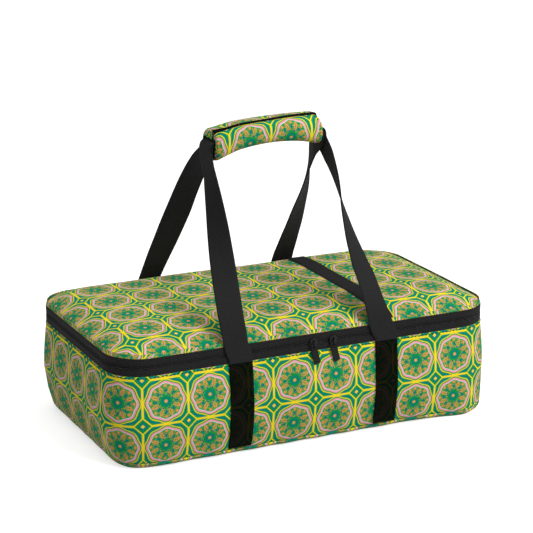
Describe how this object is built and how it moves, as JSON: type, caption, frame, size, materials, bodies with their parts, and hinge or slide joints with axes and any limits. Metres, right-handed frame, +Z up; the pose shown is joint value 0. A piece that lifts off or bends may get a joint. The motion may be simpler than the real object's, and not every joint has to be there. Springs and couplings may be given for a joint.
{
  "type": "casserole carrier",
  "caption": "Insulated rectangular casserole carrier: zipped crowned lid, two black webbing handles and a padded grip wrap.",
  "frame": {"origin": "on the floor, under the middle of the tub", "axes": "+X along the length, to the right seen from the front; -Y is the front, with the zip pulls; +Z up"},
  "size_m": [0.438, 0.2518, 0.3188],
  "materials": {
    "printed_fabric": "woven polyester canvas, printed with a repeating medallion lattice in green, yellow, teal, pink and orange",
    "black_webbing": "matte black ribbed polyester webbing",
    "zip_tape": "matte black ribbed zip tape",
    "zip_coil": "black nylon coil",
    "zip_metal": "black painted slider and wire",
    "foam": "white closed-cell foam",
    "liner": "silver-grey wipe-clean liner",
    "base_board": "grey stiffening board",
    "hook_and_loop": "black hook and loop tape"
  },
  "bodies": {
    "tub": {"wall_cover": "printed_fabric", "bottom_cover": "printed_fabric", "wall_foam": "foam", "floor_foam": "foam", "tub_liner": "liner", "base_board": "base_board", "tub_rim_binding": "zip_tape", "zip_tape_lower": "zip_tape", "zip_coil_lower": "zip_coil", "hinge_tape_lower": "zip_tape", "zip_end_tab_left": "black_webbing", "zip_end_tab_right": "black_webbing", "front_left_webbing": "black_webbing", "front_right_webbing": "black_webbing", "rear_left_webbing": "black_webbing", "rear_right_webbing": "black_webbing"},
    "lid": {"lid_outer_shell": "printed_fabric", "lid_foam": "foam", "lid_liner": "liner", "lid_rim_binding": "zip_tape", "zip_tape_upper": "zip_tape", "zip_coil_upper": "zip_coil", "hinge_tape_upper": "zip_tape", "lid_cross_tape": "zip_tape"},
    "front_handle": {"front_handle_webbing": "black_webbing"},
    "rear_handle": {"rear_handle_webbing": "black_webbing", "wrap_panel": "printed_fabric", "wrap_padding": "foam", "loop_strip": "hook_and_loop"},
    "wrap_flap": {"wrap_flap": "printed_fabric", "flap_padding": "foam", "hook_strip": "hook_and_loop"},
    "slider_left": {"zip_slider_left": "zip_metal"},
    "slider_right": {"zip_slider_right": "zip_metal"},
    "pull_left": {"pull_link_left": "zip_metal", "pull_tab_left": "black_webbing"},
    "pull_right": {"pull_link_right": "zip_metal", "pull_tab_right": "black_webbing"}
  },
  "joints": [
    {"name": "lid_hinge", "type": "hinge", "parent": "tub", "child": "lid", "pos_m": [0, 0.1205, 0.109], "axis": [-1, 0, 0], "range_deg": [0, 90]},
    {"name": "front_handle_swing", "type": "hinge", "parent": "tub", "child": "front_handle", "pos_m": [0, -0.1222, 0.1], "axis": [1, 0, 0], "range_deg": [0, 140]},
    {"name": "rear_handle_swing", "type": "hinge", "parent": "tub", "child": "rear_handle", "pos_m": [0, 0.1222, 0.1], "axis": [-1, 0, 0], "range_deg": [0, 140]},
    {"name": "wrap_flap_hinge", "type": "hinge", "parent": "rear_handle", "child": "wrap_flap", "pos_m": [0, -0.0087, 0.2862], "axis": [0.9991, 0, 0.0419], "range_deg": [0, 120]},
    {"name": "slider_left_slide", "type": "slide", "parent": "tub", "child": "slider_left", "axis": [1, 0, 0], "range_m": [-0.055, 0.006]},
    {"name": "slider_right_slide", "type": "slide", "parent": "tub", "child": "slider_right", "axis": [1, 0, 0], "range_m": [-0.006, 0.036]},
    {"name": "pull_left_swing", "type": "hinge", "parent": "slider_left", "child": "pull_left", "pos_m": [-0.0015, -0.123, 0.109], "axis": [-1, 0, 0], "range_deg": [0, 150]},
    {"name": "pull_right_swing", "type": "hinge", "parent": "slider_right", "child": "pull_right", "pos_m": [0.021, -0.123, 0.109], "axis": [-1, 0, 0], "range_deg": [0, 150]}
  ],
  "couplings": [
    {"joint": "front_handle_swing", "follows": "lid_hinge", "ratio": 1.55},
    {"joint": "rear_handle_swing", "follows": "lid_hinge", "ratio": 1.55}
  ]
}
